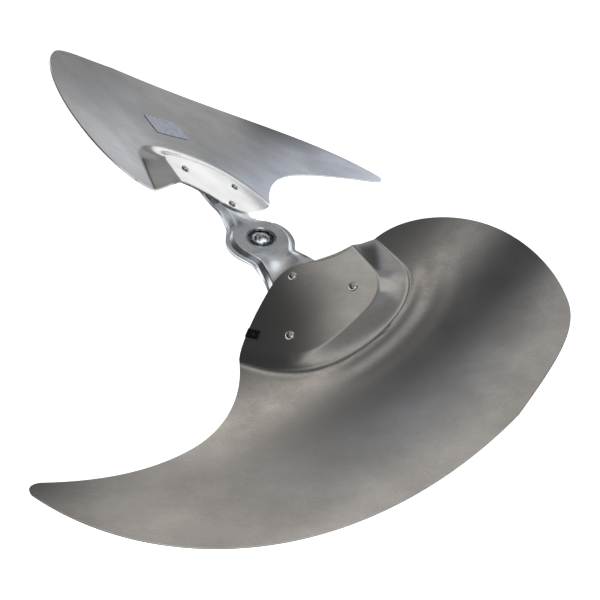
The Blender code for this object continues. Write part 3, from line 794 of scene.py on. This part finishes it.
def labelBody():
    u = np.linspace(-1.0, 1.0, label["columns"])[None, :] * label["length"] / 2.0
    v = np.linspace(-1.0, 1.0, label["rows"])[:, None] * label["width"] / 2.0
    u, v = np.broadcast_arrays(u, v)
    nearEnd = np.maximum(np.abs(u) - (label["length"] / 2.0 - label["corner"]), 0.0)
    narrowing = label["corner"] - np.sqrt(np.maximum(label["corner"] ** 2 - nearEnd ** 2, 0.0))
    v = v * (1.0 - narrowing / (label["width"] / 2.0))
    turn = label["turn"]
    x = label["centre"][0] + u * math.cos(turn) - v * math.sin(turn)
    y = label["centre"][1] + u * math.sin(turn) + v * math.cos(turn)
    places = np.stack([x.ravel(), y.ravel()], axis=1)
    normals = surfaceNormal(rolledHeight, places)
    top = np.column_stack([places, rolledHeight(places)]) + normals * (airGap + label["sheet"])
    return sheetBody(top, normals, label["sheet"], label["rows"], label["columns"], label["edgeRound"])


labelPoints, labelFaces = labelBody()
meshPiece("foilLabelBlank", halfTurn(labelPoints), labelFaces, "foil_label", foil)
print("clip and label made")


# Floor: an opal sheet that glows a little, as under a product stand
floorLook = {"sheet": "#f4f3f1", "shade": "#f2f1ef", "cloud": 300.0, "glowTone": "#ffffff",
             "glow": 0.93, "reach": 9.0, "below": 0.5}


def makeFloor():
    material, tree, shader = newMaterial("opal acrylic sheet", 0.0, 0.6)
    soft = noise(tree, stretchedCoordinates(tree, 0.0, floorLook["cloud"], floorLook["cloud"]), 2.0)
    tree.links.new(blendTones(tree, soft, tone(floorLook["shade"]), tone(floorLook["sheet"])),
                   shader.inputs["Base Color"])
    shader.inputs["Emission Color"].default_value = tone(floorLook["glowTone"])
    shader.inputs["Emission Strength"].default_value = floorLook["glow"]
    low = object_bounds()[0].z - floorLook["below"] * mm
    r = floorLook["reach"]
    mesh = bpy.data.meshes.new("floor")
    mesh.from_pydata([(-r, -r, low), (r, -r, low), (r, r, low), (-r, r, low)], [], [(0, 1, 2, 3)])
    mesh.materials.append(material)
    floor = bpy.data.objects.new("floor", mesh)
    bpy.context.scene.collection.objects.link(floor)


makeFloor()

# Surroundings, as the metal mirrors them: a soft grey studio with a glowing floor line, a pale
# strip light under the ceiling, a dark wall and a window. Each panel is given by the directions
# in degrees that it spans (azimuth from +X, rise), how soft its sides are, and its colour and
# brightness.
studio = {
    "room": ("#f1f4fa", 0.29), "horizon": ("#ffffff", 0.80), "horizonTop": (0.8, 6.0),
    "backdrop": ("#f2f2f1", 1.0),
    "panels": {
        "left wall": ((155.0, 194.0), (28.0, 60.5), (6.0, 6.0), "#fff9f4", 0.38),
        "ceiling": ((193.0, 285.0), (58.0, 74.5), (6.0, 4.0), "#fffbf7", 0.22),
        "strip light": ((206.0, 290.0), (44.6, 56.0), (3.0, 3.4), "#fff9f2", 0.50),
        "lower strip": ((182.0, 208.0), (49.5, 59.0), (4.0, 2.5), "#fff7ee", 0.60),
        "gap light": ((184.0, 195.5), (39.2, 41.7), (4.0, 1.2), "#fff5ea", 0.88),
        "gap light end": ((194.0, 201.6), (37.8, 40.2), (1.6, 1.0), "#fff5ea", 0.70),
        "dark wall": ((212.0, 290.0), (5.0, 48.8), (4.0, 2.6), "#ffffff", 0.05),
        "beam": ((193.0, 217.0), (41.6, 45.0), (7.0, 1.6), "#ffffff", 0.045),
        "beam end": ((200.0, 217.0), (40.4, 44.0), (2.6, 1.0), "#ffffff", 0.035),
        "low shelf": ((184.5, 211.0), (8.0, 37.6), (3.0, 1.2), "#ffffff", 0.085),
        "flag": ((160.0, 177.0), (30.0, 40.6), (1.6, 0.9), "#ffffff", 0.06),
        "door": ((129.5, 140.8), (24.5, 47.5), (2.6, 3.0), "#ffffff", 0.075),
        "window": ((95.0, 127.0), (8.0, 52.0), (3.0, 5.0), "#e9f0ff", 0.82),
        "window top": ((95.0, 128.5), (37.0, 56.0), (3.0, 4.0), "#e9f0ff", 1.25),
        "window side": ((118.0, 128.0), (26.0, 44.0), (3.0, 5.0), "#eef3ff", 0.70),
        "corner": ((128.5, 152.0), (8.0, 25.0), (4.0, 4.0), "#ffffff", 0.43),
        "horizon end": ((140.5, 175.0), (-1.0, 10.0), (4.0, 2.5), "#ffffff", 0.27),
        "high strip": ((180.5, 206.5), (62.0, 80.0), (4.0, 4.0), "#fffbf7", 0.42),
        "top light": ((122.0, 190.0), (65.0, 92.0), (6.0, 5.0), "#fffbf7", 0.60),
        "top light edge": ((153.0, 181.0), (57.0, 67.0), (6.0, 4.0), "#fffbf7", 0.50),
        "horizon side": ((112.0, 136.4), (-1.0, 7.5), (3.0, 2.5), "#f6f9ff", 0.74),
        "far wall": ((144.0, 168.0), (28.0, 49.5), (5.0, 5.0), "#fffdfa", 0.37),
        "strip end": ((170.0, 187.0), (44.0, 49.5), (3.0, 2.0), "#fff7ee", 0.50),
    },
    "keyPlace": (1.1, -0.4, 2.0), "keySize": 1.3, "keyPower": 7.0,
    "lampPlace": (-0.004, -0.048, 0.186), "lampRadius": 0.042, "lampPower": 0.07,
}


def makeStudio():
    world = bpy.data.worlds.new("studio")
    bpy.context.scene.world = world
    world.use_nodes = True
    tree = world.node_tree
    tree.nodes.clear()

    def mathStep(operation, first, second):
        # one sum on two values, each a number or another node's result
        node = addNode(tree, "ShaderNodeMath", {"operation": operation})
        for index, value in enumerate((first, second)):
            if isinstance(value, float):
                node.inputs[index].default_value = value
            else:
                tree.links.new(value, node.inputs[index])
        return node.outputs[0]

    def within(value, span, soft):
        # one inside the span, nought outside, with soft sides
        middle, half = sum(span) / 2.0, (span[1] - span[0]) / 2.0
        away = mathStep("ABSOLUTE", mathStep("SUBTRACT", value, middle), 0.0)
        ranges = {"interpolation_type": "SMOOTHSTEP", "From Min": half + soft,
                  "From Max": max(half - soft, 0.0)}
        return addNode(tree, "ShaderNodeMapRange", ranges, {"Value": away}).outputs[0]

    look = addNode(tree, "ShaderNodeTexCoord", {}).outputs["Generated"]
    parts = addNode(tree, "ShaderNodeSeparateXYZ", {}, {0: look}).outputs
    degrees = 180.0 / math.pi
    rise = mathStep("MULTIPLY", mathStep("ARCSINE", parts[2], 0.0), degrees)
    back = [mathStep("MULTIPLY", parts[axis], -1.0) for axis in (0, 1)]
    azimuth = mathStep("ADD", mathStep("MULTIPLY", mathStep("ARCTAN2", back[1], back[0]), degrees), 180.0)
    low, high = studio["horizonTop"]
    share = addNode(tree, "ShaderNodeMapRange", {"interpolation_type": "SMOOTHSTEP", "From Min": low,
                                                 "From Max": high}, {"Value": rise}).outputs[0]
    colour = blendTones(tree, share, tone(*studio["horizon"]), tone(*studio["room"]))
    for name, (across, upward, soft, hexColour, strength) in studio["panels"].items():
        mask = mathStep("MULTIPLY", within(azimuth, across, soft[0]), within(rise, upward, soft[1]))
        mix = addNode(tree, "ShaderNodeMix", {"data_type": "RGBA", "label": name,
                                              7: tone(hexColour, strength)}, {0: mask, 6: colour})
        colour = mix.outputs[2]
    # seen directly, the room is one plain pale backdrop; its panels only light the metal
    direct = addNode(tree, "ShaderNodeLightPath", {}).outputs["Is Camera Ray"]
    mix = addNode(tree, "ShaderNodeMix", {"data_type": "RGBA", "label": "backdrop",
                                          7: tone(*studio["backdrop"])}, {0: direct, 6: colour})
    sky = addNode(tree, "ShaderNodeBackground", {"Strength": 1.0}, {"Color": mix.outputs[2]})
    addNode(tree, "ShaderNodeOutputWorld", {}, {"Surface": sky.outputs[0]})
    softbox = bpy.data.lights.new("key softbox", "AREA")
    softbox.energy = studio["keyPower"]
    softbox.size = studio["keySize"]
    key = bpy.data.objects.new("key softbox", softbox)
    key.location = studio["keyPlace"]
    key.rotation_euler = (Vector((0.0, 0.0, 0.0)) - key.location).to_track_quat("-Z", "Y").to_euler()
    bpy.context.scene.collection.objects.link(key)
    # a small lamp close over the hub, which brightens the arm where it turns up to the near blade
    lamp = bpy.data.lights.new("hub lamp", "POINT")
    lamp.energy = studio["lampPower"]
    lamp.shadow_soft_size = studio["lampRadius"]
    bulb = bpy.data.objects.new("hub lamp", lamp)
    bulb.location = studio["lampPlace"]
    bulb.visible_camera = False
    lit = bpy.data.collections.new("lit by the hub lamp")
    for piece in (armPiece, hubPiece):
        lit.objects.link(piece)
    bulb.light_linking.receiver_collection = lit   # its bare disc would be mirrored in the blades
    bpy.context.scene.collection.objects.link(bulb)


makeStudio()

# Camera: the photograph's viewpoint, in degrees and millimetres
view = {"aim": (87.01, -10.45, 0.0), "away": 546.8, "turn": 51.12, "rise": 43.13, "roll": 10.57,
        "lens": 38.70}


def makeCamera():
    turn, rise, roll = (math.radians(view[name]) for name in ("turn", "rise", "roll"))
    back = Vector((math.sin(turn) * math.cos(rise), -math.cos(turn) * math.cos(rise), math.sin(rise)))
    level = Vector((math.cos(turn), math.sin(turn), 0.0))
    right = level * math.cos(roll) + back.cross(level) * math.sin(roll)
    up = back.cross(right)
    lens = bpy.data.cameras.new("camera")
    lens.lens = view["lens"]
    lens.sensor_width = 36.0
    lens.clip_start = 0.01
    camera = bpy.data.objects.new("camera", lens)
    place = (Vector(view["aim"]) + back * view["away"]) * mm
    camera.matrix_world = Matrix.Translation(place) @ Matrix((right, up, back)).transposed().to_4x4()
    bpy.context.scene.collection.objects.link(camera)
    bpy.context.scene.camera = camera


makeCamera()
bpy.context.scene.view_settings.view_transform = "Standard"
print("floor, surroundings and camera made")
